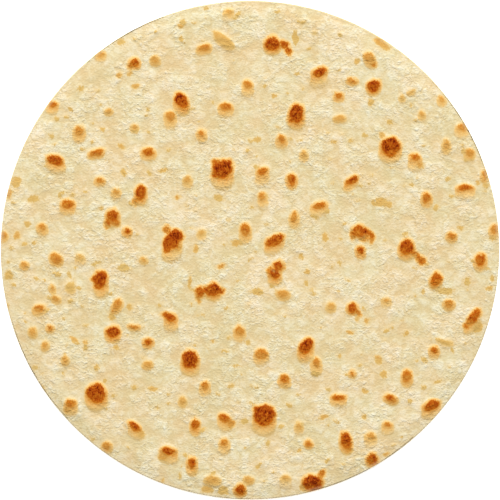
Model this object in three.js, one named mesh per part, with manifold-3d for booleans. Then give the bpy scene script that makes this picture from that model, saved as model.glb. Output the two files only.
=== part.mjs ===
// Flour tortilla: wheat dough pressed into a thin disc and griddled until it blisters.
// Millimetres, +Z up. The origin is the middle of the flat underside.

import * as THREE from 'three';
import { mergeVertices } from 'three/addons/utils/BufferGeometryUtils.js';
import Module from 'manifold-3d';

// Driving dimensions of the disc.
const DIAMETER = 250;
const DOUGH_THICKNESS = 2.0;
const RIM_THICKNESS = 1.3; // the press squeezes the dough thinner at the edge
const RIM_TAPER = 8; // width of the band in which the dough thins towards the rim
const DISC_SEGMENTS = 112;
const RIM_ARC_POINTS = 3; // steps in each quarter turn of the half-round rim

// Blisters are pockets of steam that lift the skin of the dough in low domes.
const BLISTER_RISE = 1.4; // of the widest blister; a narrower one rises less
const BLISTER_SEGMENTS = 16;
const BLISTER_RINGS = 8;

// The largest blisters: place of the middle, length, width and turn of the length from +X.
const BLISTERS = [
  { x: -13.5, y: 38.5, length: 14, width: 13.5, turn: 0 },
  { x: -38.5, y: 4, length: 14, width: 12, turn: 55 },
  { x: 7.5, y: -85, length: 15, width: 13.5, turn: 90 },
  { x: -29.5, y: -56.5, length: 14, width: 10.5, turn: 90 },
  { x: -76.7, y: -73.5, length: 13.5, width: 12.5, turn: 90 },
  { x: 70.3, y: 50.5, length: 14, width: 13, turn: 90 },
  { x: 24, y: 66.5, length: 14, width: 10.5, turn: 90 },
  { x: 78.6, y: 0.5, length: 12, width: 10.5, turn: -50 },
  { x: 27.8, y: -50, length: 13, width: 9.5, turn: 65 },
  { x: -74.2, y: -17, length: 13.5, width: 10, turn: 90 },
  { x: -18.2, y: -20.5, length: 11, width: 9, turn: 0 },
  { x: 30.8, y: -115, length: 12, width: 8.5, turn: 15 },
  { x: 89.5, y: -79, length: 10.5, width: 8, turn: 15 },
  { x: 112, y: -36, length: 13.5, width: 8, turn: 55 },
  { x: -36, y: 73.5, length: 12, width: 8, turn: -60 },
  { x: -97.3, y: 43.5, length: 11, width: 8, turn: -20 },
];

// Finish of the bread: pale, dry and dull.
const BREAD_COLOUR = 0xead5a6;
const BREAD_ROUGHNESS = 0.85;

const { Manifold, Mesh: SolidMesh } = await loadSolids();

async function loadSolids() {
  const wasm = await Module();
  wasm.setup();
  return wasm;
}

// A closed three.js shape with its shared corners merged, as a solid that can be joined.
function toSolid(geometry) {
  const bare = geometry.clone();
  bare.deleteAttribute('normal');
  bare.deleteAttribute('uv');
  const merged = mergeVertices(bare);
  return new Manifold(new SolidMesh({
    numProp: 3,
    vertProperties: new Float32Array(merged.attributes.position.array),
    triVerts: new Uint32Array(merged.index.array),
  }));
}

function toGeometry(solid) {
  const mesh = solid.getMesh();
  const geometry = new THREE.BufferGeometry();
  geometry.setAttribute('position', new THREE.BufferAttribute(mesh.vertProperties, 3));
  geometry.setIndex(new THREE.BufferAttribute(mesh.triVerts, 1));
  geometry.computeVertexNormals();
  return geometry;
}

// The disc is one profile turned about +Z: flat below, a half-round rim, and a top that
// falls gently to the rim.
function discShape() {
  const radius = DIAMETER / 2;
  const edge = RIM_THICKNESS / 2;
  const profile = new THREE.Path();
  profile.moveTo(0, 0);
  profile.lineTo(radius - edge, 0);
  profile.absarc(radius - edge, edge, edge, -Math.PI / 2, Math.PI / 2);
  profile.lineTo(radius - RIM_TAPER, DOUGH_THICKNESS);
  profile.lineTo(0, DOUGH_THICKNESS);
  const disc = new THREE.LatheGeometry(profile.getPoints(RIM_ARC_POINTS), DISC_SEGMENTS);
  return disc.rotateX(Math.PI / 2);
}

// Height of the dough's top at a distance from the middle of the disc.
function doughTop(distance) {
  const taperStart = DIAMETER / 2 - RIM_TAPER;
  const share = THREE.MathUtils.clamp((distance - taperStart) / RIM_TAPER, 0, 1);
  return THREE.MathUtils.lerp(DOUGH_THICKNESS, RIM_THICKNESS, share);
}

// A blister is a flattened ball whose middle lies in the top of the dough, low enough for
// its outer side to meet the falling top near the rim.
function blisterShape({ x, y, length, width, turn }) {
  const widest = Math.max(...BLISTERS.map((blister) => blister.width));
  const ball = new THREE.SphereGeometry(1, BLISTER_SEGMENTS, BLISTER_RINGS);
  ball.rotateX(Math.PI / 2);
  ball.scale(length / 2, width / 2, BLISTER_RISE * width / widest);
  ball.rotateZ(THREE.MathUtils.degToRad(turn));
  return ball.translate(x, y, doughTop(Math.hypot(x, y) + width / 2));
}

let bread = toSolid(discShape());
for (const blister of BLISTERS) {
  bread = bread.add(toSolid(blisterShape(blister)));
}

const tortilla = new THREE.Mesh(
  toGeometry(bread),
  new THREE.MeshStandardMaterial({ color: BREAD_COLOUR, roughness: BREAD_ROUGHNESS, metalness: 0 }),
);
tortilla.name = 'tortilla';

const part = new THREE.Group();
part.add(tortilla);

export default part;
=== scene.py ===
import math
import random

import bmesh
import bpy
import numpy as np
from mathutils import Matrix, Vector, noise


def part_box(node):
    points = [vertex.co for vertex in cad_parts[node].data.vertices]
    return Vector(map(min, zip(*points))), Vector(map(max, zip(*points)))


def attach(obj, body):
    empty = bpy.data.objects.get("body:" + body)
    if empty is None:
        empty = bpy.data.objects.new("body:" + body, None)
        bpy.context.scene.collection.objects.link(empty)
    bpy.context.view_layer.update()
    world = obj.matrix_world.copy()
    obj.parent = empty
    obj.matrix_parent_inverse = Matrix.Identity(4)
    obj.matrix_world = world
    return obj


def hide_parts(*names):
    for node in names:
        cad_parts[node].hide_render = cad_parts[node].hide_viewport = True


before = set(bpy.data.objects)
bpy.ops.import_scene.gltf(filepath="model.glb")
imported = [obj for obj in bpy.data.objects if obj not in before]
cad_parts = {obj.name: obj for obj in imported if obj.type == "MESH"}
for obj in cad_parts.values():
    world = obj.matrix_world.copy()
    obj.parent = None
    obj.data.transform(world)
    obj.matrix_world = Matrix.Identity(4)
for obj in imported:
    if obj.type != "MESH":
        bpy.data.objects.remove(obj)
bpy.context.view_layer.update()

# ---------------------------------------------------------------------------------------
# Tortilla, the disc of dough.
# Wheat flour, water and fat, pressed between hot plates into a thin round of one piece.
# The press leaves it flat, a little thinner at the edge, with a small half-round rim.
MM = 0.001
disc_low, disc_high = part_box("tortilla")
MIDDLE = Vector(((disc_low.x + disc_high.x) / 2, (disc_low.y + disc_high.y) / 2, disc_low.z))
RADIUS = (disc_high.x - disc_low.x) / 2
DOUGH = 2.0 * MM
RIM_THICKNESS = 1.3 * MM
RIM_TAPER = 8 * MM
RIM_POINTS = 540
RIM_ROUND = 0.48 * RIM_THICKNESS
RIM_STEPS = 3
EVENING_ROUNDS = 12
SHARP_EDGE = math.radians(60)
FACES_UP = 0.9

bpy.ops.object.select_all(action="DESELECT")
bpy.ops.mesh.primitive_circle_add(
    vertices=RIM_POINTS, radius=RADIUS, fill_type="NOTHING", location=MIDDLE)
tortilla = bpy.context.object
tortilla.name = "tortilla_bread"
tortilla.data.name = "tortilla_bread"
bpy.ops.object.mode_set(mode="EDIT")
bpy.ops.mesh.select_mode(type="VERT")
bpy.ops.mesh.select_all(action="SELECT")
bpy.ops.mesh.fill_grid(span=RIM_POINTS // 4)
bpy.ops.mesh.select_all(action="SELECT")
bpy.ops.mesh.extrude_region_move(TRANSFORM_OT_translate={"value": (0, 0, RIM_THICKNESS)})
bpy.ops.mesh.select_all(action="SELECT")
bpy.ops.mesh.normals_make_consistent(inside=False)
bpy.ops.object.mode_set(mode="OBJECT")
bpy.ops.object.transform_apply(location=True, rotation=True, scale=True)


def select_in_edit(element, wanted):
    """Goes into edit mode and selects only the points, edges or faces that wanted() accepts."""
    bpy.ops.object.mode_set(mode="EDIT")
    bpy.ops.mesh.select_mode(type=element)
    bpy.ops.mesh.select_all(action="DESELECT")
    cage = bmesh.from_edit_mesh(tortilla.data)
    for part in {"VERT": cage.verts, "EDGE": cage.edges, "FACE": cage.faces}[element]:
        if wanted(part):
            part.select_set(True)
    cage.select_flush_mode()
    bmesh.update_edit_mesh(tortilla.data)


# The grid is evened out away from the rim, the side is rounded, and the upper face gets
# twice the points of the lower one.
select_in_edit("VERT", lambda vert: (vert.co.xy - MIDDLE.xy).length < RADIUS - 0.1 * MM)
bpy.ops.mesh.vertices_smooth(factor=0.5, repeat=EVENING_ROUNDS)
select_in_edit("EDGE", lambda edge: edge.calc_face_angle(0) > SHARP_EDGE)
bpy.ops.mesh.bevel(offset=RIM_ROUND, segments=RIM_STEPS, profile=0.5, affect="EDGES")
select_in_edit("FACE", lambda face: face.normal.z > FACES_UP)
bpy.ops.mesh.subdivide(number_cuts=1)
bpy.ops.object.mode_set(mode="OBJECT")

# ---------------------------------------------------------------------------------------
# Tortilla, the blisters and toast marks of the upper face.
# On the griddle steam lifts the skin in blisters, and the crown of each one scorches where
# it touched the hot plate. The toast sits high on the blister and the pale foot shows below.
# Millimetres from the middle of the disc: x, y, length, width, turn of the length in degrees,
# how dark the toast is from 0 to 1, and how far below the toast's middle the foot lies.
BLISTERS = [
    (-10.9, 119.3, 4.0, 3.0, 0, 0.45, 5.3), (-23.0, 100.9, 7.0, 4.0, 15, 0.60, 4.0),
    (-13.5, 105.0, 13.0, 5.0, -40, 0.30, 6.0), (-74.8, 98.0, 4.0, 3.5, 0, 0.50, 4.0),
    (-57.9, 93.9, 5.0, 5.0, 0, 0.85, 4.0), (-47.5, 95.0, 4.5, 4.5, 0, 0.45, 3.5),
    (-99.0, 72.8, 4.5, 4.0, 0, 0.75, 5.3), (-70.9, 69.4, 4.0, 2.5, 0, 0.45, 2.6),
    (-34.5, 74.6, 9.2, 6.3, -60, 1.00, 7.5), (-39.9, 66.8, 5.0, 5.5, 0, 0.60, 6.8),
    (-12.2, 71.4, 6.5, 4.5, 0, 0.70, 5.4), (-1.2, 82.7, 4.5, 5.0, 0, 0.65, 6.7),
    (-57.8, 61.5, 2.8, 2.5, 0, 0.50, 3.5), (-85.6, 59.3, 5.0, 6.2, 0, 0.60, 6.3),
    (-24.2, 58.2, 4.0, 4.0, 45, 0.65, 4.7), (-76.9, 48.5, 8.0, 4.0, 15, 0.70, 3.7),
    (-97.6, 45.0, 9.0, 5.4, -22, 0.90, 7.0), (-50.9, 48.9, 6.7, 4.2, 0, 0.75, 4.9),
    (-75.4, 34.9, 4.6, 3.0, 0, 0.65, 3.9), (-31.3, 34.8, 4.0, 4.5, 0, 0.45, 4.8),
    (-13.8, 40.2, 9.8, 9.6, 0, 1.00, 10.2), (-67.2, 29.1, 3.5, 3.5, 0, 0.50, 4.6),
    (-54.9, 28.2, 5.4, 8.2, 0, 0.88, 6.5), (-91.4, 22.8, 6.4, 5.0, 0, 0.75, 5.8),
    (-68.8, 17.2, 6.6, 6.8, 0, 0.86, 6.5), (-104.0, 11.0, 4.0, 4.5, 60, 0.60, 4.5),
    (-61.6, 9.3, 4.0, 3.4, -30, 0.86, 3.8), (-123.6, 7.3, 3.5, 4.5, 0, 0.55, 4.3),
    (-24.2, 8.5, 3.5, 3.5, 0, 0.40, 4.5), (-2.3, 9.8, 5.0, 7.0, 0, 0.70, 7.0),
    (-38.9, 4.9, 10.4, 7.4, 55, 1.00, 11.5), (11.2, 103.0, 8.2, 7.6, 0, 0.95, 5.6),
    (34.6, 89.0, 7.6, 5.0, 25, 0.88, 8.0), (51.2, 84.7, 5.5, 3.0, 5, 0.60, 2.8),
    (59.9, 95.7, 7.5, 4.5, -65, 0.50, 5.7), (62.0, 82.0, 6.6, 6.2, 0, 0.97, 4.9),
    (44.5, 76.9, 4.3, 3.5, 0, 0.75, 3.4), (23.2, 68.2, 7.6, 9.6, 0, 0.97, 8.4),
    (45.0, 65.8, 5.5, 3.3, 10, 0.45, 2.8), (81.0, 79.0, 3.5, 2.0, 35, 0.40, 2.6),
    (76.2, 76.2, 2.5, 3.0, 0, 0.35, 3.2), (96.1, 75.0, 3.2, 4.0, 0, 0.50, 4.0),
    (86.2, 67.7, 2.6, 3.8, 0, 0.45, 3.7), (106.2, 61.2, 5.5, 4.5, 0, 0.60, 5.7),
    (15.8, 55.2, 4.5, 5.0, 0, 0.65, 5.2), (27.0, 47.6, 3.5, 4.0, 0, 0.40, 4.1),
    (70.3, 52.0, 10.0, 9.4, 0, 0.97, 9.0), (82.8, 46.0, 5.3, 4.2, 0, 0.75, 7.0),
    (98.3, 52.5, 3.5, 6.0, 0, 0.45, 5.5), (109.9, 48.3, 4.5, 4.5, 0, 0.55, 4.3),
    (6.2, 39.1, 6.0, 4.5, 30, 0.75, 7.1), (20.9, 35.2, 5.0, 6.5, 0, 0.80, 5.2),
    (50.8, 34.4, 7.6, 3.6, 35, 0.86, 5.5), (107.6, 30.8, 8.6, 3.2, 0, 0.80, 5.8),
    (88.4, 25.9, 4.8, 6.0, 0, 0.70, 5.4), (117.6, 37.2, 3.0, 6.0, 0, 0.60, 4.0),
    (6.3, 26.4, 3.5, 4.5, 0, 0.60, 6.4), (34.6, 22.4, 7.3, 4.0, 15, 0.80, 6.4),
    (22.2, 16.0, 4.0, 6.0, 0, 0.60, 6.0), (12.4, 4.5, 10.0, 5.4, 28, 0.88, 7.4),
    (54.4, 9.6, 6.4, 6.6, 0, 0.88, 4.6), (55.4, -0.4, 3.6, 4.6, 0, 0.90, 4.9),
    (101.0, 6.7, 4.0, 4.0, 0, 0.65, 3.7), (122.8, 10.3, 4.5, 5.0, 0, 0.65, 4.9),
    (78.4, 1.2, 7.6, 8.0, 0, 0.93, 7.0), (-97.2, -4.6, 6.6, 5.0, -35, 0.62, 4.5),
    (-85.1, -3.8, 4.0, 3.4, 0, 0.35, 4.7), (-113.0, -7.8, 3.6, 3.4, 0, 0.55, 2.8),
    (-74.7, -15.3, 5.9, 9.0, 0, 0.96, 9.2), (-89.8, -18.6, 4.6, 5.6, 0, 0.22, 4.4),
    (-99.1, -19.3, 2.4, 3.6, 0, 0.52, 2.8), (-97.3, -24.6, 5.0, 3.2, -40, 0.50, 3.4),
    (-105.7, -29.5, 6.0, 3.6, 12, 0.64, 4.0), (-66.6, -27.8, 7.5, 4.5, 60, 0.58, 4.6),
    (-53.2, -5.3, 3.5, 3.0, 0, 0.44, 2.4), (-39.6, -34.1, 5.4, 5.2, 0, 0.92, 7.4),
    (-18.2, -20.2, 6.8, 7.4, 0, 0.96, 5.8), (-25.0, -21.2, 4.2, 4.8, 0, 0.88, 3.4),
    (-5.3, -40.7, 4.8, 5.2, 0, 0.60, 6.1), (-100.2, -39.2, 3.2, 3.2, 0, 0.66, 2.4),
    (-108.8, -41.2, 3.5, 4.5, 0, 0.46, 2.8), (-102.6, -48.2, 3.0, 4.0, 0, 0.50, 3.0),
    (-68.7, -41.3, 6.6, 6.4, 0, 1.00, 5.9), (-58.1, -38.4, 5.4, 2.6, -8, 0.64, 2.6),
    (-51.2, -46.1, 4.4, 3.4, 0, 0.84, 3.9), (-92.6, -55.3, 2.8, 4.0, 0, 0.46, 2.6),
    (-51.5, -57.6, 4.8, 3.4, 0, 0.48, 2.4), (-30.0, -54.7, 8.2, 9.4, 0, 1.00, 8.9),
    (-22.6, -68.3, 4.4, 4.6, 0, 0.66, 5.5), (-77.0, -71.8, 10.0, 10.0, 0, 0.96, 9.3),
    (-90.0, -77.6, 5.4, 5.2, 0, 0.70, 5.9), (-33.7, -76.1, 3.6, 5.0, 0, 0.40, 3.9),
    (-57.6, -88.7, 7.6, 3.6, -38, 0.90, 6.8), (-27.5, -87.8, 4.4, 6.0, 0, 0.83, 5.7),
    (-12.8, -84.4, 6.6, 4.6, -40, 0.80, 6.9), (-12.9, -96.9, 4.0, 4.4, 0, 0.66, 6.1),
    (-71.8, -98.6, 4.8, 4.6, 0, 0.55, 2.6), (-41.0, -100.9, 7.8, 4.6, -12, 0.93, 6.6),
    (-29.0, -106.9, 4.2, 6.0, 0, 0.86, 6.8), (-18.8, -115.4, 8.0, 4.6, 0, 0.38, 3.0),
    (-5.1, -120.4, 5.2, 6.0, 0, 0.89, 3.5), (-0.7, -115.3, 4.6, 3.6, 0, 0.42, 2.2),
    (14.3, -7.9, 5.4, 4.8, 0, 0.95, 3.0), (12.4, -12.1, 5.4, 6.0, 0, 0.96, 6.4),
    (16.4, -22.4, 6.6, 4.4, -12, 0.52, 2.8), (115.5, -5.1, 5.6, 6.4, 0, 0.80, 6.2),
    (93.1, -15.1, 7.8, 5.6, 70, 0.83, 4.6), (99.7, -27.2, 5.4, 4.6, 0, 0.63, 3.8),
    (68.3, -25.2, 3.4, 2.4, 0, 0.52, 4.3), (40.6, -28.6, 4.4, 4.6, 0, 0.42, 3.4),
    (51.2, -29.3, 5.4, 4.8, 0, 0.91, 3.4), (111.6, -34.6, 10.6, 4.2, 50, 0.80, 8.0),
    (92.2, -50.3, 4.2, 3.8, 0, 0.76, 4.9), (97.5, -46.1, 8.0, 2.6, -12, 0.26, 3.4),
    (28.1, -48.7, 9.0, 6.2, 62, 1.00, 8.2), (5.6, -52.3, 6.2, 5.0, 0, 0.64, 6.0),
    (33.2, -56.8, 4.6, 5.0, 0, 0.61, 6.6), (17.1, -65.1, 5.2, 4.6, -35, 0.73, 4.9),
    (51.2, -61.8, 2.6, 2.4, 0, 0.68, 2.7), (78.7, -63.8, 4.8, 7.0, 0, 0.69, 5.6),
    (44.3, -74.0, 6.8, 3.4, 0, 0.80, 5.3), (70.5, -74.6, 6.8, 4.2, -22, 0.74, 3.0),
    (90.9, -78.0, 8.6, 5.0, 20, 0.92, 7.4), (7.1, -82.8, 10.6, 10.8, 0, 1.00, 10.7),
    (24.5, -88.4, 3.4, 4.4, 0, 0.42, 4.9), (68.9, -87.8, 4.4, 3.0, 0, 0.66, 5.1),
    (60.5, -93.7, 4.6, 4.0, 0, 0.50, 5.8), (48.1, -96.0, 9.6, 5.2, -80, 0.88, 7.0),
    (29.4, -97.3, 3.4, 3.4, 0, 0.66, 2.6), (61.4, -105.3, 6.0, 7.0, 0, 0.82, 3.6),
    (17.7, -114.4, 4.0, 3.0, 0, 0.42, 5.6), (31.4, -116.8, 10.4, 8.0, -8, 1.00, 4.0),
]
# Toast with no blister of its own: lobes and tails of the marks above, and small scorches.
SCORCHES = [
    (-60.3, 91.7, 2.5, 3.0, 0, 0.75), (-60.7, 88.6, 2.5, 2.0, 0, 0.40),
    (-65.5, 87.8, 2.5, 3.0, 0, 0.45), (-85.2, 81.0, 3.0, 3.0, 0, 0.20),
    (-64.7, 104.5, 4.0, 3.0, 0, 0.20), (-57.0, 81.8, 3.5, 2.0, 0, 0.40),
    (-34.7, 112.4, 3.0, 2.5, 0, 0.35), (-34.3, 105.6, 2.5, 3.0, 0, 0.20),
    (-51.2, 70.5, 2.5, 2.0, 0, 0.15), (-74.1, 60.6, 3.0, 3.0, 0, 0.25),
    (-100.0, 57.0, 2.5, 2.5, 0, 0.15), (-64.2, 51.9, 3.0, 3.0, 0, 0.35),
    (-63.2, 39.0, 3.0, 4.0, 0, 0.25), (-117.4, 34.2, 5.0, 5.0, 0, 0.25),
    (-120.9, 27.9, 3.0, 5.0, 0, 0.50), (-108.5, 26.0, 6.0, 4.0, 0, 0.20),
    (-95.5, 27.0, 3.0, 3.0, 0, 0.15), (-71.3, 13.4, 3.4, 6.0, -12, 0.72),
    (-66.8, 13.6, 3.8, 4.2, 20, 0.68), (-74.7, 20.9, 3.0, 2.5, 0, 0.25),
    (-116.5, 7.0, 3.0, 4.0, 0, 0.40), (-111.5, 12.8, 3.0, 3.0, 0, 0.25),
    (-108.2, 3.2, 2.5, 2.0, 0, 0.25), (-43.7, 40.0, 5.0, 2.0, 0, 0.30),
    (-36.1, 26.3, 3.0, 2.5, 0, 0.50), (-31.5, 22.4, 2.5, 2.0, 0, 0.20),
    (-15.6, 26.0, 5.0, 3.5, 0, 0.20), (-10.5, 14.8, 2.5, 2.0, 0, 0.20),
    (-57.4, 23.6, 3.2, 3.6, 20, 0.66), (-41.8, 10.2, 4.0, 4.4, 30, 0.66),
    (-36.0, 1.0, 5.0, 3.0, 40, 0.45), (-7.0, 3.6, 6.0, 3.0, 0, 0.30),
    (-27.2, 0.6, 2.5, 3.0, 0, 0.35), (-50.5, 38.5, 3.0, 3.0, 0, 0.15),
    (17.2, 102.9, 5.0, 3.8, -20, 0.88), (19.3, 100.0, 3.4, 5.2, 15, 0.84),
    (22.9, 106.2, 3.2, 7.6, 0, 0.20), (24.7, 114.8, 3.0, 2.0, 0, 0.15),
    (62.1, 92.7, 2.4, 2.6, 0, 0.72), (53.7, 94.5, 2.5, 3.0, 0, 0.30),
    (12.4, 77.2, 3.0, 2.0, 0, 0.30), (60.5, 74.0, 3.5, 3.5, 0, 0.25),
    (66.3, 103.5, 9.0, 4.0, -35, 0.40), (44.5, 90.0, 3.0, 2.0, 0, 0.15),
    (80.5, 72.3, 2.5, 2.5, 0, 0.15), (70.2, 64.0, 3.5, 3.0, 0, 0.20),
    (3.7, 55.3, 5.0, 3.0, 0, 0.25), (42.0, 54.0, 3.5, 2.0, 0, 0.30),
    (57.5, 57.5, 3.0, 3.0, 0, 0.15), (66.0, 57.5, 3.0, 2.4, 30, 0.35),
    (85.2, 42.6, 3.4, 3.0, 0, 0.45), (37.6, 6.2, 3.0, 4.0, 0, 0.30),
    (58.0, 8.7, 5.6, 4.2, -30, 0.93), (51.7, 7.5, 2.8, 4.6, -12, 0.80),
    (65.7, 24.2, 6.0, 4.4, 0, 0.26), (62.4, 23.3, 2.6, 2.6, 0, 0.24),
    (69.2, 22.2, 4.2, 3.4, 0, 0.26), (114.4, 33.8, 2.5, 3.0, 0, 0.30),
    (105.9, 11.1, 3.0, 3.0, 0, 0.25), (121.6, 5.8, 2.4, 3.0, 0, 0.25),
    (82.4, -2.0, 4.4, 3.6, -40, 0.72), (86.3, -5.6, 3.6, 3.8, 0, 0.78),
    (81.0, 33.0, 2.5, 2.5, 0, 0.15), (-121.0, -12.6, 4.5, 5.0, 0, 0.22),
    (-100.8, -24.2, 3.0, 2.4, 0, 0.20), (-90.4, -12.8, 1.6, 3.0, 30, 0.18),
    (-68.9, -30.6, 1.8, 2.4, 0, 0.68), (-69.2, -33.6, 3.4, 4.0, 0, 0.25),
    (-60.3, -28.6, 2.6, 3.0, 0, 0.28), (-121.5, -28.2, 1.5, 3.0, 0, 0.35),
    (-87.9, -44.8, 3.6, 2.0, -25, 0.38), (-87.3, -46.4, 3.0, 2.0, 0, 0.20),
    (-82.8, -46.7, 2.2, 2.4, 0, 0.35), (-82.8, -49.0, 3.4, 2.4, 0, 0.18),
    (-66.9, -49.0, 3.0, 2.5, 0, 0.28), (-76.9, -58.8, 2.5, 3.0, 0, 0.25),
    (-92.8, -52.0, 1.3, 1.2, 0, 0.22), (-112.8, -32.0, 1.6, 1.6, 0, 0.22),
    (-112.8, -36.2, 2.2, 1.6, 0, 0.18), (-76.2, -6.3, 4.0, 2.0, 0, 0.12),
    (-108.0, -58.8, 5.0, 3.0, 0, 0.12), (-63.5, -9.2, 8.0, 4.0, 0, 0.12),
    (-104.3, -62.0, 1.6, 1.3, 0, 0.20), (-93.5, -62.0, 1.6, 2.4, 0, 0.15),
    (-14.4, -8.2, 3.4, 2.6, 15, 0.55), (-30.1, -16.6, 1.8, 6.2, 0, 0.28),
    (-28.1, -20.2, 2.4, 2.0, 0, 0.20), (-22.4, -20.2, 5.0, 3.2, 12, 0.88),
    (-26.2, -23.8, 2.4, 3.2, 0, 0.72), (-25.6, -25.9, 2.0, 2.6, 0, 0.48),
    (-41.6, -33.1, 5.6, 3.6, -12, 0.88), (-39.6, -36.4, 2.4, 2.0, 0, 0.62),
    (-18.8, -45.9, 2.2, 2.0, 0, 0.30), (-1.1, -46.3, 3.0, 2.5, 0, 0.20),
    (-26.8, -0.2, 2.0, 2.0, 0, 0.20), (-6.5, -58.3, 5.0, 2.4, 0, 0.13),
    (-48.8, -69.4, 4.2, 2.0, 0, 0.30), (-72.6, -65.8, 2.0, 2.2, 0, 0.26),
    (-91.5, -80.2, 4.0, 3.4, 0, 0.42), (-103.9, -68.7, 1.4, 3.0, 30, 0.32),
    (-54.5, -92.0, 4.4, 3.6, -38, 0.34), (-43.4, -103.6, 5.0, 3.6, 0, 0.48),
    (-27.6, -110.6, 2.2, 2.4, 0, 0.40), (-44.1, -115.9, 1.6, 2.0, 0, 0.40),
    (-22.0, -120.2, 6.0, 4.0, 0, 0.28), (-13.4, -120.5, 6.0, 5.0, 0, 0.18),
    (-9.5, -68.0, 3.6, 2.6, 0, 0.22), (-9.4, -87.4, 4.4, 4.0, -40, 0.54),
    (-2.9, -85.8, 5.0, 3.0, 0, 0.16), (-35.2, -113.2, 2.0, 4.0, 0, 0.14),
    (-46.3, -79.1, 3.0, 2.0, 0, 0.12), (26.0, -3.4, 2.8, 2.2, 0, 0.28),
    (9.8, -10.6, 2.6, 4.0, 0, 0.48), (10.9, -18.2, 3.0, 2.2, 0, 0.24),
    (28.4, -10.9, 2.4, 3.0, 0, 0.33), (45.2, -6.8, 2.4, 3.5, 0, 0.16),
    (28.1, -17.0, 2.4, 3.0, 0, 0.20), (3.8, -21.0, 6.0, 4.0, 0, 0.22),
    (4.4, -22.0, 1.6, 1.6, 0, 0.34), (54.0, -31.6, 4.2, 2.6, -55, 0.74),
    (53.6, -34.8, 2.4, 2.4, 0, 0.30), (58.7, -35.5, 2.8, 2.8, 0, 0.42),
    (50.3, -41.2, 3.6, 2.0, 0, 0.40), (44.8, -53.2, 2.0, 1.6, 0, 0.30),
    (63.9, -53.9, 2.2, 1.6, 0, 0.46), (64.7, -55.3, 3.4, 3.4, 0, 0.27),
    (67.2, -62.5, 2.8, 3.6, 0, 0.28), (86.7, -21.4, 1.6, 2.2, 0, 0.22),
    (119.9, -19.3, 3.4, 2.4, 15, 0.32), (78.2, -41.8, 3.0, 2.6, 0, 0.28),
    (99.5, -46.2, 1.6, 1.3, 0, 0.40), (101.4, -50.3, 2.4, 4.0, 0, 0.14),
    (98.0, -20.6, 9.0, 4.0, 0, 0.15), (108.8, -15.7, 4.0, 5.0, 0, 0.15),
    (121.7, -14.4, 3.0, 3.0, 0, 0.18), (114.2, -38.6, 6.0, 4.0, 52, 0.26),
    (75.8, -35.7, 2.2, 1.4, 0, 0.15), (93.5, -66.0, 4.0, 2.0, 20, 0.20),
    (36.8, -83.6, 5.0, 2.4, 5, 0.38), (24.6, -100.6, 2.0, 2.0, 0, 0.32),
    (49.9, -100.2, 3.0, 3.0, 0, 0.60), (57.8, -70.9, 3.0, 2.8, 0, 0.30),
    (57.0, -83.6, 2.2, 3.4, 0, 0.25), (35.9, -112.9, 5.4, 3.4, 50, 0.70),
    (26.4, -119.2, 4.0, 3.4, 0, 0.36), (3.8, -108.8, 2.4, 2.6, 0, 0.22),
    (9.1, -97.3, 2.6, 4.0, 0, 0.14), (68.3, -102.2, 2.8, 1.8, 20, 0.40),
    (76.0, -93.8, 1.6, 1.6, 0, 0.20), (32.8, -61.6, 5.0, 3.0, 0, 0.18),
    (-10.2, 43.2, 3.4, 3.4, 0, 1.00), (-17.4, 37.4, 3.4, 3.4, 0, 0.95),
    (-17.3, 43.8, 3.2, 2.8, 0, 0.85), (-37.4, 7.0, 8.4, 6.6, -15, 1.00),
    (-41.2, 2.4, 5.4, 8.0, 0, 0.97), (3.4, -79.9, 3.2, 3.0, 0, 1.00),
    (10.2, -79.6, 3.6, 3.0, 0, 0.90), (70.4, 48.2, 5.0, 4.6, 0, 0.85),
    (84.6, -3.9, 3.6, 3.4, -40, 0.72), (60.4, 6.9, 3.2, 3.6, -30, 0.82),
    (61.0, 4.6, 2.2, 3.6, 0, 0.60), (-77.5, -14.4, 4.6, 3.2, 15, 0.93),
    (-73.6, -13.0, 4.6, 4.8, 0, 0.96), (-75.6, -18.2, 4.4, 4.0, 0, 0.93),
    (-14.9, -20.7, 4.2, 3.4, -15, 0.86), (-18.7, -17.3, 3.0, 3.2, 0, 0.92),
    (-20.4, -22.7, 3.4, 2.8, 0, 0.85), (-27.6, -58.3, 2.8, 2.6, 0, 0.96),
    (-32.4, -58.0, 3.0, 2.8, 0, 0.92), (20.7, 64.9, 2.6, 2.6, 0, 0.93),
    (26.0, 65.4, 2.4, 2.4, 0, 0.88), (-69.0, 13.9, 4.4, 4.0, 0, 0.62),
    (-54.6, 30.2, 4.6, 3.8, 0, 0.97), (14.4, 5.9, 5.2, 3.6, 10, 0.93),
    (9.9, 3.8, 4.4, 4.2, 0, 0.92), (10.2, -9.9, 2.4, 2.0, 0, 0.80),
    (12.0, 105.6, 3.4, 3.2, 0, 0.93), (113.7, -32.0, 4.4, 4.6, 0, 0.83),
    (56.4, 6.4, 6.0, 3.6, -20, 0.66),
    (108.6, -38.0, 3.4, 2.8, 20, 0.74), (35.0, -118.0, 3.6, 4.4, 0, 0.98),
]
# The dome: its height on the widest blister, how full it is, how much of the height is lost
# down to the foot, and the border of bare skin round the toast.
BLISTER_RISE = 1.5
WIDEST_BLISTER = 13.5
DOME_FULLNESS = 0.85
FOOT_FALL = 0.35
FOOT_BORDER = 1.3
# The toast: its core and halo fade between these distances outside its outline, measured up
# to the farthest, and the halo has this share of its strength. The darks in the lists are
# raised to a power that deepens the lighter ones, and the side towards +Y is darker still.
CORE_FADE = (-0.9, 0.45)
HALO_FADE = (-0.3, 2.3)
FARTHEST = 3.0
HALO_SHARE = 0.27
DARKENING = 0.8
DARKER_SIDE = 0.22
# The golden skin: its least strength, what is added next to the toast, how far that reaches,
# the share that is left above the toast, and where it ends on the dome, from 1 at its foot.
SKIN_TOAST = 0.13
SKIN_GLOW = 0.40
GLOW_REACH = 2.1
SKIN_ABOVE = 0.45
SKIN_END = (0.84, 1.05)
FAINTEST_BLISTER = 0.2
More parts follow.
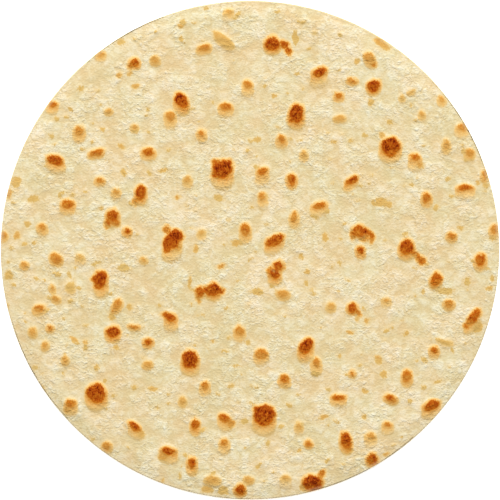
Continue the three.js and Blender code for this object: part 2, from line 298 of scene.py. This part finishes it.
# Painted shade: a straw-coloured line at the foot of the lower flank, turned away from the light.
FOOT_SHADE_START = (0.78, 0.95)
FOOT_SHADE_END = (0.99, 1.1)
FOOT_SHADE_LOW = (0.2, 0.8)
# The outlines wander by this much, in lumps of this size.
OUTLINE_LUMP = 4.2
MARK_WANDER = 0.9
BLISTER_WANDER = 0.45
FINE_LUMP = 1.7
FINE_WANDER = 0.3
# Faint freckles, where the skin only just touched the plate.
FRECKLES = 240
FRECKLE_SEED = 11
FRECKLE_REACH = 0.98
FRECKLE_SIZES = (1.2, 3.0)
FRECKLE_DARKS = (0.08, 0.22)
FRECKLE_TURN = 30
FRECKLE_RISE = 0.3
# The relief of the faces dies out between these distances from the rim.
RELIEF_END = (5, 0.5)


def lumps(places, size, layer):
    """Smooth noise of about -1 to 1 at each place, in lumps that many millimetres across. Any
    other layer gives other lumps."""
    return np.array([noise.noise(Vector((x / size, y / size, layer))) for x, y in places])


def soft_step(start, end, value):
    """0 up to start, 1 from end on, and a smooth rise between them."""
    share = np.clip((value - start) / (end - start), 0, 1)
    return share * share * (3 - 2 * share)


def oval(places, x, y, length, width, turn, drop=0.0):
    """Two numbers at each place: 0 at the middle of an oval and 1 on its outline, and how far
    down its sweep the place is. The oval is swept towards -Y by drop."""
    across = places[:, 0] - x
    along = places[:, 1] - y
    swept = np.clip(-along, 0, drop)
    along = along + swept
    cos = math.cos(math.radians(turn))
    sin = math.sin(math.radians(turn))
    lengthwise = (across * cos + along * sin) * 2 / length
    crosswise = (along * cos - across * sin) * 2 / width
    return np.hypot(lengthwise, crosswise), swept / max(drop, 0.001)


def gap_outside(share, length, width):
    """Millimetres outside an oval's outline, below 0 inside, from its share of the outline."""
    return (share - 1) * math.sqrt(length * width) / 2


def marks_on(places, marks):
    """The strongest mark at each place: how far outside its outline the place lies in
    millimetres, below 0 inside, and how dark the mark is."""
    strongest = np.zeros(len(places))
    gaps = np.full(len(places), FARTHEST)
    darks = np.zeros(len(places))
    for x, y, length, width, turn, mark_dark in marks:
        dark = mark_dark ** DARKENING
        share, _ = oval(places, x, y, length, width, turn)
        gap = np.minimum(gap_outside(share, length, width), FARTHEST)
        core = 1 - soft_step(*CORE_FADE, gap)
        halo = 1 - soft_step(*HALO_FADE, gap)
        strength = dark * ((1 - HALO_SHARE) * core + HALO_SHARE * halo)
        wins = strength > strongest
        strongest[wins] = strength[wins]
        gaps[wins] = gap[wins]
        darks[wins] = dark * (1 + DARKER_SIDE * np.clip((places[wins, 1] - y) / width, -1, 1))
    return gaps, darks


def blisters_on(places, marks):
    """Blister height in millimetres, how golden the skin is, and painted shade at the lower foot."""
    height = np.zeros(len(places))
    skin = np.zeros(len(places))
    foot_shade = np.zeros(len(places))
    for x, y, length, width, turn, dark, reach in marks:
        cos = math.cos(math.radians(turn))
        sin = math.sin(math.radians(turn))
        half_height = math.hypot(length / 2 * sin, width / 2 * cos)
        drop = max(0.0, reach - half_height - FOOT_BORDER)
        long = length + 2 * FOOT_BORDER
        wide = width + 2 * FOOT_BORDER
        strength = FAINTEST_BLISTER + (1 - FAINTEST_BLISTER) * dark
        share, down = oval(places, x, y, long, wide, turn, drop)
        rise = BLISTER_RISE * min(1.0, math.sqrt(long * (wide + drop)) / WIDEST_BLISTER)
        dome = np.clip(1 - share * share, 0, 1) ** DOME_FULLNESS
        height = np.maximum(height, rise * dome * (1 - FOOT_FALL * down))

        cover = 1 - soft_step(*SKIN_END, share)
        from_core, _ = oval(places, x, y, length, width, turn)
        gap = np.maximum(gap_outside(from_core, length, width), 0)
        golden = SKIN_TOAST + SKIN_GLOW * np.exp(-gap / GLOW_REACH)
        below = soft_step(-1.0, 0.6, (y - places[:, 1]) / (half_height + 0.5))
        skin = np.maximum(skin, cover * strength * golden * (SKIN_ABOVE + (1 - SKIN_ABOVE) * below))

        low = np.clip((y - places[:, 1]) / (half_height + drop + FOOT_BORDER), 0, 1)
        # Painted shade: a band at the foot, on the lower side, away from the light.
        foot_shade_band = soft_step(*FOOT_SHADE_START, share) * (1 - soft_step(*FOOT_SHADE_END, share))
        foot_shade = np.maximum(foot_shade, foot_shade_band * soft_step(*FOOT_SHADE_LOW, low) * strength)
    return height, skin, foot_shade


def random_place(draw, reach):
    """A place on the disc, in millimetres, within that share of its area."""
    angle = draw.uniform(0, 2 * math.pi)
    distance = radius_mm * math.sqrt(draw.uniform(0, reach))
    return distance * math.cos(angle), distance * math.sin(angle)


mesh = tortilla.data
spots = np.empty(len(mesh.vertices) * 3)
mesh.vertices.foreach_get("co", spots)
spots = spots.reshape(-1, 3)
flat = (spots[:, :2] - np.array(MIDDLE.xy)) / MM
upper = np.clip((spots[:, 2] - MIDDLE.z) / RIM_THICKNESS, 0, 1)
reach_out = np.hypot(flat[:, 0], flat[:, 1])
radius_mm = RADIUS / MM
inside = 1 - soft_step(radius_mm - RELIEF_END[0], radius_mm - RELIEF_END[1], reach_out)

wander = np.column_stack([lumps(flat, OUTLINE_LUMP, 3.1), lumps(flat, OUTLINE_LUMP, 9.7)])
fine_wander = np.column_stack([lumps(flat, FINE_LUMP, 5.3), lumps(flat, FINE_LUMP, 7.9)])
bent = flat + MARK_WANDER * wander + FINE_WANDER * fine_wander

draw = random.Random(FRECKLE_SEED)
freckles = []
for _ in range(FRECKLES):
    place = random_place(draw, FRECKLE_REACH)
    size = draw.uniform(*FRECKLE_SIZES)
    turn = draw.uniform(-FRECKLE_TURN, FRECKLE_TURN)
    freckles.append((*place, size * 1.2, size * 0.8, turn, draw.uniform(*FRECKLE_DARKS)))

top_gap, top_dark = marks_on(bent, [mark[:6] for mark in BLISTERS] + SCORCHES + freckles)
height, skin, foot_shade = blisters_on(flat + BLISTER_WANDER * wander, BLISTERS)
for x, y, length, width, turn, _ in freckles:
    share, _ = oval(flat, x, y, length + 1, width + 1, turn)
    height = np.maximum(height, FRECKLE_RISE * np.clip(1 - share * share, 0, 1))

# ---------------------------------------------------------------------------------------
# Tortilla, the wrinkles.
# The dough shrinks a little as it dries, which crinkles its face finely in places, and broad
# soft swells are left where steam lifted it without a blister.
CRINKLE = 2.7
CRINKLE_RISE = 0.26
CRINKLE_LEAST = 0.15
PUFF = 6.2
PUFF_RISE = 0.20
PUFF_LEAST = 0.5
SIDEWAYS = 1.15
CREASE_WIDTH = 0.42
PUFF_SHOULDER = 0.4
CREASED_PATCH = 8
CREASED_FADE = (-0.25, 0.2)
BLISTERS_AT_RIM = 0.3
RUFFLE = 1.1
RUFFLE_LUMP = 3.5
SWELL = 15
SWELL_RISE = 0.08


def puffs_at(places, size, layer):
    """Round lumps packed side by side: about 1 on top, and 0 along the creases between them."""
    cells = [Vector((x / size / SIDEWAYS, y / size, layer)) for x, y in places]
    distances = np.array([noise.voronoi(cell)[0][:2] for cell in cells])
    crease = soft_step(0.0, CREASE_WIDTH, distances[:, 1] - distances[:, 0])
    return crease * (1 - PUFF_SHOULDER * np.clip(distances[:, 0], 0, 1) ** 2)


taper = soft_step(radius_mm - RIM_TAPER / MM, radius_mm, reach_out)
dough = DOUGH / MM - taper * (DOUGH - RIM_THICKNESS) / MM
creased = soft_step(*CREASED_FADE, lumps(flat, CREASED_PATCH, 13.7))
ruffles = np.column_stack([lumps(flat, RUFFLE_LUMP, 61.3), lumps(flat, RUFFLE_LUMP, 67.9)])
ruffled = flat + RUFFLE * ruffles
crinkles = puffs_at(ruffled, CRINKLE, 21.3)
puffs = puffs_at(ruffled, PUFF, 33.9)
swells = lumps(flat, SWELL, 41.5)
crinkled_here = CRINKLE_LEAST + (1 - CRINKLE_LEAST) * creased
puffed_here = PUFF_LEAST + (1 - PUFF_LEAST) * creased
risen_here = BLISTERS_AT_RIM + (1 - BLISTERS_AT_RIM) * inside
top_relief = dough - RIM_THICKNESS / MM + height * risen_here
top_relief += inside * (CRINKLE_RISE * crinkles * crinkled_here + SWELL_RISE * swells)
top_relief += inside * PUFF_RISE * puffs * puffed_here

# ---------------------------------------------------------------------------------------
# Tortilla, the underside.
# It was griddled first, so its toast marks are flat and lie where the dough touched the
# plate, and the dough between them stays a little hollow.
UNDER_MARKS = 210
UNDER_SEED = 5
UNDER_REACH = 0.95
UNDER_SIZES = (2.5, 3.5, 3.5, 5.0, 5.0, 7.0, 9.0)
UNDER_STRETCHES = (0.8, 1.3)
UNDER_DARKS = (0.2, 0.85)
UNDER_HOLLOW = 0.3
HOLLOW_LUMP = 6.5
HOLLOW_FINE_LUMP = 2.8
TOUCHING_EDGE = (-0.5, 1.5)
draw = random.Random(UNDER_SEED)
under_marks = []
for _ in range(UNDER_MARKS):
    place = random_place(draw, UNDER_REACH)
    size = draw.choice(UNDER_SIZES)
    stretch = draw.uniform(*UNDER_STRETCHES)
    turn = draw.uniform(0, 180)
    under_marks.append((*place, size * stretch, size / stretch, turn, draw.uniform(*UNDER_DARKS)))
under_gap, under_dark = marks_on(bent, under_marks)
hollow = 0.5 + 0.5 * lumps(flat, HOLLOW_LUMP, 55.7) + 0.25 * lumps(flat, HOLLOW_FINE_LUMP, 59.3)
off_the_plate = soft_step(*TOUCHING_EDGE, under_gap)
under_relief = UNDER_HOLLOW * np.clip(hollow, 0, 1) * off_the_plate * inside

# ---------------------------------------------------------------------------------------
# Tortilla, how it lies.
# Soft bread settles on the table but keeps a few low waves, so the rim lifts here and there.
# The middle stays down.
WAVE = 62
WAVE_LIFT = 0.6
WAVE_STRENGTH = 1.3
FLAT_MIDDLE = 0.25
waves = np.clip(0.15 + WAVE_STRENGTH * lumps(flat, WAVE, 71.9), 0, 1)
lift = WAVE_LIFT * waves * waves * soft_step(FLAT_MIDDLE, 1.0, reach_out / radius_mm)

spots[:, 2] += MM * (upper * top_relief + (1 - upper) * under_relief + lift)
mesh.vertices.foreach_set("co", spots.ravel())
mesh.update()


def paint(name, values):
    """Keeps one number for each vertex on the mesh, for the material to read."""
    layer = mesh.attributes.new(name, "FLOAT", "POINT")
    layer.data.foreach_set("value", np.asarray(values, np.float32))


# The band at the rim that is mixed to a greyer cream: untoasted dough, and partly painted shade of the
# rounded edge.
RIM_CREAM_AND_SHADE_BAND = (2.2, 0.3)
is_top = upper > 0.5
paint("gap", np.where(is_top, top_gap, under_gap))
paint("dark", np.where(is_top, top_dark, under_dark))
paint("skin", is_top * skin)
# Painted shade at the foot of each blister's lower flank.
paint("foot_shade", is_top * foot_shade)
paint("rim", soft_step(radius_mm - RIM_CREAM_AND_SHADE_BAND[0], radius_mm - RIM_CREAM_AND_SHADE_BAND[1], reach_out))
# Painted shade and light: 0 along the creases between the lumps and 1 on their tops, for the colour.
paint("crown_and_crease_shade", 0.5 * crinkles + 0.5 * puffs)
paint("creased", creased)

bpy.ops.object.select_all(action="DESELECT")
tortilla.select_set(True)
bpy.context.view_layer.objects.active = tortilla
bpy.ops.object.shade_smooth()

# ---------------------------------------------------------------------------------------
# Tortilla, the finish.
# Griddled wheat dough: a dry, floury, dull skin, cream where it only set and browning from
# gold to red-brown on the crowns, with darker grains where the scorch broke up.

# Sizes of its patterns in millimetres. Flour and scorched grains are really a few tenths of
# a millimetre across, and are drawn coarser so that they show.
BROAD_PATCH = 30
MOTTLE = 7
FOLD = 2.2
FLOUR_GRAIN = 1.0
SOFT_PUFF = 5.0
BEAD = 2.3
CELL_BEND = 3.2
CELL_BEND_FAR = 5.5
TINT_FIELD = 26
TINT_PATCH = 8
SCORCH_GRAIN = 0.9
SCORCH_CLOT = 2.0
# Colours of the dough from its darkest straw to its lightest cream, with their places on
# the scale of lightness, and the tints from olive to pink.
PALE = ["D3BB8A", "DDCCA4", "E4D8B9", "E8E0C7", "ECE7D5"]
PALE_AT = [0.05, 0.30, 0.52, 0.72, 0.95]
TINTS = ["DCDCB2", "E5D9AF", "EDD2A5"]
TINTS_AT = [0.10, 0.50, 0.90]
TINT_SHARE = 0.25
# Colours of the toast, from first gold to nearly black, in even steps.
CRUST = [
    "E6D3A8", "E8CF9C", "E7C380", "E4B66E", "DDA65B", "D49544",
    "CA8630", "C27622", "B96516", "AE540E", "9E4209", "842C05", "641A03",
]
LIGHT_SCORCH = "C6A75E"
# Painted shade at the foot of a blister's lower flank, in straw.
FOOT_SHADE_STRAW = "CDA95F"
FOOT_SHADE_SHARE = 0.75
# Greyer cream of the rim band: the untoasted rim, and partly painted shade of the rounded edge.
RIM_CREAM_AND_SHADE = "DCCBA2"
RIM_CREAM_AND_SHADE_SHARE = 0.35


def linear(colour):
    """An sRGB hex colour as the linear red, green, blue and alpha that a shader takes."""
    shares = [int(colour[i:i + 2], 16) / 255 for i in (0, 2, 4)]
    return (*[c / 12.92 if c <= 0.04045 else ((c + 0.055) / 1.055) ** 2.4 for c in shares], 1.0)


def add_node(tree, kind, settings=(), inputs=()):
    """A new shader node. Settings are its properties; inputs are values, or sockets to link.
    In a Mix node of colours, input 0 is the share, 6 and 7 are the colours, and output 2 is
    the mix."""
    made = tree.nodes.new("ShaderNode" + kind)
    for name, value in dict(settings).items():
        setattr(made, name, value)
    for key, value in dict(inputs).items():
        if isinstance(value, bpy.types.NodeSocket):
            tree.links.new(value, made.inputs[key])
        else:
            made.inputs[key].default_value = value
    return made


def weighted_sum(tree, parts):
    """The sum of several sockets, each times its weight."""
    (part, weight), *others = parts
    total = add_node(tree, "Math", {"operation": "MULTIPLY"}, {0: part, 1: weight}).outputs[0]
    for part, weight in others:
        total = add_node(
            tree, "Math", {"operation": "MULTIPLY_ADD"}, {0: part, 1: weight, 2: total}).outputs[0]
    return total


def fill_ramp(ramp, colours, places):
    """Gives a colour ramp these colours at these places from 0 to 1."""
    for place in places[1:-1]:
        ramp.elements.new(place)
    for element, place, colour in zip(ramp.elements, places, colours):
        element.position = place
        element.color = linear(colour)


def per_metre(millimetres):
    """Scale of a noise on Object coordinates whose lumps are that many millimetres across."""
    return 1 / (millimetres * MM)


dough_finish = bpy.data.materials.new("griddled_wheat_dough")
dough_finish.use_nodes = True
tree = dough_finish.node_tree
tree.nodes.clear()
where = add_node(tree, "TexCoord").outputs["Object"]
wide = add_node(tree, "Mapping", {}, {"Vector": where, "Scale": (0.78, 1.0, 1.0)}).outputs[0]
leaning = add_node(tree, "Mapping", {}, {
    "Vector": where, "Rotation": (0, 0, math.radians(35)), "Scale": (1.3, 0.8, 1.0)}).outputs[0]
painted = {}
for name in ("gap", "dark", "skin", "foot_shade", "rim", "crown_and_crease_shade", "creased"):
    painted[name] = add_node(tree, "Attribute", {"attribute_name": name}).outputs["Fac"]

# Fine folds of the skin, which fade where it is smooth.
crinkle = add_node(tree, "TexNoise", {}, {
    "Vector": wide, "Scale": per_metre(FOLD), "Detail": 2.5, "Roughness": 0.55})
centred = add_node(
    tree, "Math", {"operation": "SUBTRACT"}, {0: crinkle.outputs["Fac"], 1: 0.5}).outputs[0]
folded = add_node(tree, "Math", {"operation": "ABSOLUTE"}, {0: centred}).outputs[0]
roughened = add_node(tree, "MapRange", {}, {"Value": painted["creased"], "To Min": 0.15}).outputs[0]
folds_and_crease_shade = add_node(tree, "Math", {"operation": "MULTIPLY"}, {0: folded, 1: roughened}).outputs[0]

# Soft puffs and small beads between the folds: packed cells with crooked creases.
bend = add_node(tree, "TexNoise", {}, {"Vector": where, "Scale": per_metre(CELL_BEND), "Detail": 2.0})
bend_centred = add_node(tree, "VectorMath", {"operation": "SUBTRACT"}, {
    0: bend.outputs["Color"], 1: (0.5, 0.5, 0.5)}).outputs[0]
bend_far = add_node(tree, "VectorMath", {"operation": "SCALE"}, {
    0: bend_centred, "Scale": CELL_BEND_FAR * MM}).outputs[0]
warped = add_node(tree, "VectorMath", {"operation": "ADD"}, {0: wide, 1: bend_far}).outputs[0]
puff_edge = add_node(tree, "TexVoronoi", {"feature": "DISTANCE_TO_EDGE"}, {
    "Vector": warped, "Scale": per_metre(SOFT_PUFF)})
puff_top_and_shade = add_node(tree, "MapRange", {"interpolation_type": "SMOOTHSTEP"}, {
    "Value": puff_edge.outputs["Distance"], "From Max": 0.36}).outputs[0]
bead_edge = add_node(tree, "TexVoronoi", {"feature": "DISTANCE_TO_EDGE"}, {
    "Vector": warped, "Scale": per_metre(BEAD)})
bead_top = add_node(tree, "MapRange", {"interpolation_type": "SMOOTHSTEP"}, {
    "Value": bead_edge.outputs["Distance"], "From Max": 0.35}).outputs[0]
beads_and_shade = add_node(tree, "Math", {"operation": "MULTIPLY"}, {0: bead_top, 1: roughened}).outputs[0]

# The pale dough: one range from straw to cream, in patches of all sizes. Painted shade and
# light: the creases of the folds, puffs and beads go to the straw side and their tops to the cream.
broad = add_node(tree, "TexNoise", {}, {"Vector": wide, "Scale": per_metre(BROAD_PATCH), "Detail": 1.0})
mottle = add_node(tree, "TexNoise", {}, {
    "Vector": wide, "Scale": per_metre(MOTTLE), "Detail": 4.0, "Roughness": 0.62})
flour = add_node(tree, "TexNoise", {}, {
    "Vector": where, "Scale": per_metre(FLOUR_GRAIN), "Detail": 1.0})
lightness = weighted_sum(tree, [
    (broad.outputs["Fac"], 0.20),
    (mottle.outputs["Fac"], 0.46),
    (painted["crown_and_crease_shade"], 0.12),
    (folds_and_crease_shade, 0.85),
    (flour.outputs["Fac"], 0.22),
    (puff_top_and_shade, 0.12),
    (beads_and_shade, 0.09),
])
lightness_share = add_node(tree, "MapRange", {}, {
    "Value": lightness, "From Min": 0.435, "From Max": 0.89}).outputs[0]
patches = add_node(tree, "ValToRGB", {}, {"Fac": lightness_share})
fill_ramp(patches.color_ramp, PALE, PALE_AT)

# Some of it leans to olive and some to pink.
tint_patch = add_node(tree, "TexNoise", {}, {
    "Vector": where, "Scale": per_metre(TINT_PATCH), "Detail": 3.0})
tint_field = add_node(tree, "TexNoise", {}, {
    "Vector": where, "Scale": per_metre(TINT_FIELD), "Detail": 1.0})
tint_sum = add_node(tree, "Math", {"operation": "ADD"}, {
    0: tint_patch.outputs["Fac"], 1: tint_field.outputs["Fac"]}).outputs[0]
tint_share = add_node(tree, "MapRange", {}, {
    "Value": tint_sum, "From Min": 0.76, "From Max": 1.24}).outputs[0]
tint = add_node(tree, "ValToRGB", {}, {"Fac": tint_share})
fill_ramp(tint.color_ramp, TINTS, TINTS_AT)
pale = add_node(tree, "Mix", {"data_type": "RGBA"}, {
    0: TINT_SHARE, 6: patches.outputs[0], 7: tint.outputs[0]}).outputs[2]

# The toast: a dark core that fades inside its outline, in a golden halo. Grains and clots
# make the outline ragged and break up the core.
grain = add_node(tree, "TexNoise", {}, {
    "Vector": leaning, "Scale": per_metre(SCORCH_GRAIN), "Detail": 2.5, "Roughness": 0.7})
clot = add_node(tree, "TexNoise", {}, {
    "Vector": where, "Scale": per_metre(SCORCH_CLOT), "Detail": 2.0})
grain_off = add_node(tree, "MapRange", {}, {
    "Value": grain.outputs["Fac"], "From Min": 0.25, "From Max": 0.75,
    "To Min": -0.9, "To Max": 0.9}).outputs[0]
clot_off = add_node(tree, "MapRange", {}, {
    "Value": clot.outputs["Fac"], "From Min": 0.25, "From Max": 0.75,
    "To Min": -0.5, "To Max": 0.5}).outputs[0]
nearly = add_node(tree, "Math", {"operation": "ADD"}, {0: painted["gap"], 1: clot_off}).outputs[0]
ragged = add_node(tree, "Math", {"operation": "ADD"}, {0: nearly, 1: grain_off}).outputs[0]
core = add_node(tree, "MapRange", {"interpolation_type": "SMOOTHSTEP"}, {
    "Value": ragged, "From Min": CORE_FADE[0], "From Max": CORE_FADE[1],
    "To Min": 1 - HALO_SHARE, "To Max": 0.0}).outputs[0]
halo = add_node(tree, "MapRange", {"interpolation_type": "SMOOTHSTEP"}, {
    "Value": nearly, "From Min": HALO_FADE[0], "From Max": HALO_FADE[1],
    "To Min": HALO_SHARE, "To Max": 0.0}).outputs[0]
together = add_node(tree, "Math", {"operation": "ADD"}, {0: core, 1: halo}).outputs[0]
mark_toast = add_node(
    tree, "Math", {"operation": "MULTIPLY"}, {0: together, 1: painted["dark"]}).outputs[0]
toast = add_node(
    tree, "Math", {"operation": "MAXIMUM"}, {0: mark_toast, 1: painted["skin"]}).outputs[0]
clot_part = add_node(tree, "MapRange", {}, {
    "Value": clot.outputs["Fac"], "From Min": 0.3, "From Max": 0.7,
    "To Min": 0.84, "To Max": 1.14}).outputs[0]
grain_part = add_node(tree, "MapRange", {}, {
    "Value": grain.outputs["Fac"], "From Min": 0.3, "From Max": 0.7,
    "To Min": 0.74, "To Max": 1.22}).outputs[0]
broken = add_node(tree, "Math", {"operation": "MULTIPLY"}, {0: clot_part, 1: grain_part}).outputs[0]
browning = add_node(tree, "Math", {"operation": "MULTIPLY"}, {0: toast, 1: broken}).outputs[0]
browning_share = add_node(tree, "MapRange", {}, {"Value": browning, "From Max": 1.2}).outputs[0]
crust = add_node(tree, "ValToRGB", {}, {"Fac": browning_share})
fill_ramp(crust.color_ramp, CRUST, [step / (len(CRUST) - 1) for step in range(len(CRUST))])
covers = add_node(tree, "MapRange", {}, {
    "Value": browning, "From Min": 0.02, "From Max": 0.16}).outputs[0]

# A light scorch is drier, and more olive, than the halo round a dark one.
lightly = add_node(tree, "MapRange", {}, {
    "Value": painted["dark"], "From Min": 0.15, "From Max": 0.8,
    "To Min": 0.8, "To Max": 0.0}).outputs[0]
struck = add_node(tree, "MapRange", {}, {
    "Value": mark_toast, "From Min": 0.02, "From Max": 0.2}).outputs[0]
olive = add_node(tree, "Math", {"operation": "MULTIPLY"}, {0: lightly, 1: struck}).outputs[0]
dry_crust = add_node(tree, "Mix", {"data_type": "RGBA"}, {
    0: olive, 6: crust.outputs[0], 7: linear(LIGHT_SCORCH)}).outputs[2]
crusted = add_node(
    tree, "Mix", {"data_type": "RGBA"}, {0: covers, 6: pale, 7: dry_crust}).outputs[2]

# Painted shade at the foot of a blister's lower flank, in straw. The rim never touched the plate,
# so it stays paler; its band is mixed to a greyer cream, partly painted shade of the rounded edge.
foot_shade_mix = add_node(
    tree, "Math", {"operation": "MULTIPLY"}, {0: painted["foot_shade"], 1: FOOT_SHADE_SHARE}).outputs[0]
toasted_and_foot_shade = add_node(tree, "Mix", {"data_type": "RGBA"}, {
    0: foot_shade_mix, 6: crusted, 7: linear(FOOT_SHADE_STRAW)}).outputs[2]
# Partly painted shade: the rim band is mixed to greyer cream towards the rounded edge.
rim_mix = add_node(
    tree, "Math", {"operation": "MULTIPLY"}, {0: painted["rim"], 1: RIM_CREAM_AND_SHADE_SHARE}).outputs[0]
colour = add_node(tree, "Mix", {"data_type": "RGBA"}, {
    0: rim_mix, 6: toasted_and_foot_shade, 7: linear(RIM_CREAM_AND_SHADE)}).outputs[2]

# Folds, puffs, beads and flour grain too fine for the mesh, as heights in millimetres.
fine_height = weighted_sum(tree, [
    (folds_and_crease_shade, 1.08),
    (flour.outputs["Fac"], 0.25),
    (puff_top_and_shade, 0.07),
    (beads_and_shade, 0.07),
])
bump = add_node(tree, "Bump", {}, {"Strength": 1.0, "Distance": MM, "Height": fine_height})
surface = add_node(tree, "BsdfPrincipled", {}, {
    "Base Color": colour,
    "Roughness": 0.8,
    "IOR": 1.45,
    "Specular IOR Level": 0.04,
    "Normal": bump.outputs["Normal"],
})
add_node(tree, "OutputMaterial", {}, {"Surface": surface.outputs["BSDF"]})
tortilla.data.materials.append(dough_finish)

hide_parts("tortilla")
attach(tortilla, "root")

# ---------------------------------------------------------------------------------------
# Light table.
# A plain white acrylic sheet under the bread, lit softly from within, so that it stays white
# up to the rim. It is wide enough to fill every view.
FLOOR_HALF = 3.0
FLOOR_GAP = 0.02 * MM
FLOOR_GLOW = 0.55
bpy.ops.object.select_all(action="DESELECT")
bpy.ops.mesh.primitive_plane_add(size=2 * FLOOR_HALF, location=(0, 0, disc_low.z - FLOOR_GAP))
floor = bpy.context.object
floor.name = "light_table"
bpy.ops.object.transform_apply(location=True, rotation=True, scale=True)
board = bpy.data.materials.new("lit_white_acrylic")
board.use_nodes = True
board_tree = board.node_tree
board_tree.nodes.clear()
board_surface = add_node(board_tree, "BsdfPrincipled", {}, {
    "Base Color": linear("FAFAFA"),
    "Roughness": 0.9,
    "Specular IOR Level": 0.1,
    "Emission Color": linear("FFFFFF"),
    "Emission Strength": FLOOR_GLOW,
})
add_node(board_tree, "OutputMaterial", {}, {"Surface": board_surface.outputs["BSDF"]})
floor.data.materials.append(board)

# ---------------------------------------------------------------------------------------
# Light.
# A soft key from beyond the far edge slants across the face, and warm white surroundings
# fill the rest.
KEY_DISTANCE = 6.0
KEY_HEIGHT_ANGLE = 48
KEY_SIZE = 3.5
KEY_POWER = 405
FILL_STRENGTH = 0.365
key_data = bpy.data.lights.new("key", "AREA")
key_data.shape = "DISK"
key_data.size = KEY_SIZE
key_data.energy = KEY_POWER
key = bpy.data.objects.new("key", key_data)
bpy.context.scene.collection.objects.link(key)
tilt = math.radians(KEY_HEIGHT_ANGLE)
key.location = MIDDLE + KEY_DISTANCE * Vector((0, math.cos(tilt), math.sin(tilt)))
key.rotation_euler = (MIDDLE - key.location).to_track_quat("-Z", "Y").to_euler()

world = bpy.data.worlds.new("white_room")
bpy.context.scene.world = world
world.use_nodes = True
fill = world.node_tree.nodes["Background"]
fill.inputs["Color"].default_value = linear("FFF7EA")
fill.inputs["Strength"].default_value = FILL_STRENGTH

# ---------------------------------------------------------------------------------------
# Camera.
# Straight above the middle with a long lens, so the disc stays a true circle. The view ends
# just outside the rim. Colours are shown as they are lit, with no film curve.
CAMERA_HEIGHT = 3.0
VIEW_MARGIN = 0.376 * MM
SENSOR_WIDTH = 36
camera_data = bpy.data.cameras.new("overhead")
camera_data.sensor_width = SENSOR_WIDTH
camera_data.lens = SENSOR_WIDTH * CAMERA_HEIGHT / (2 * (RADIUS + VIEW_MARGIN))
camera = bpy.data.objects.new("overhead", camera_data)
bpy.context.scene.collection.objects.link(camera)
camera.location = MIDDLE + Vector((0, 0, CAMERA_HEIGHT))
bpy.context.scene.camera = camera
bpy.context.scene.view_settings.view_transform = "Standard"
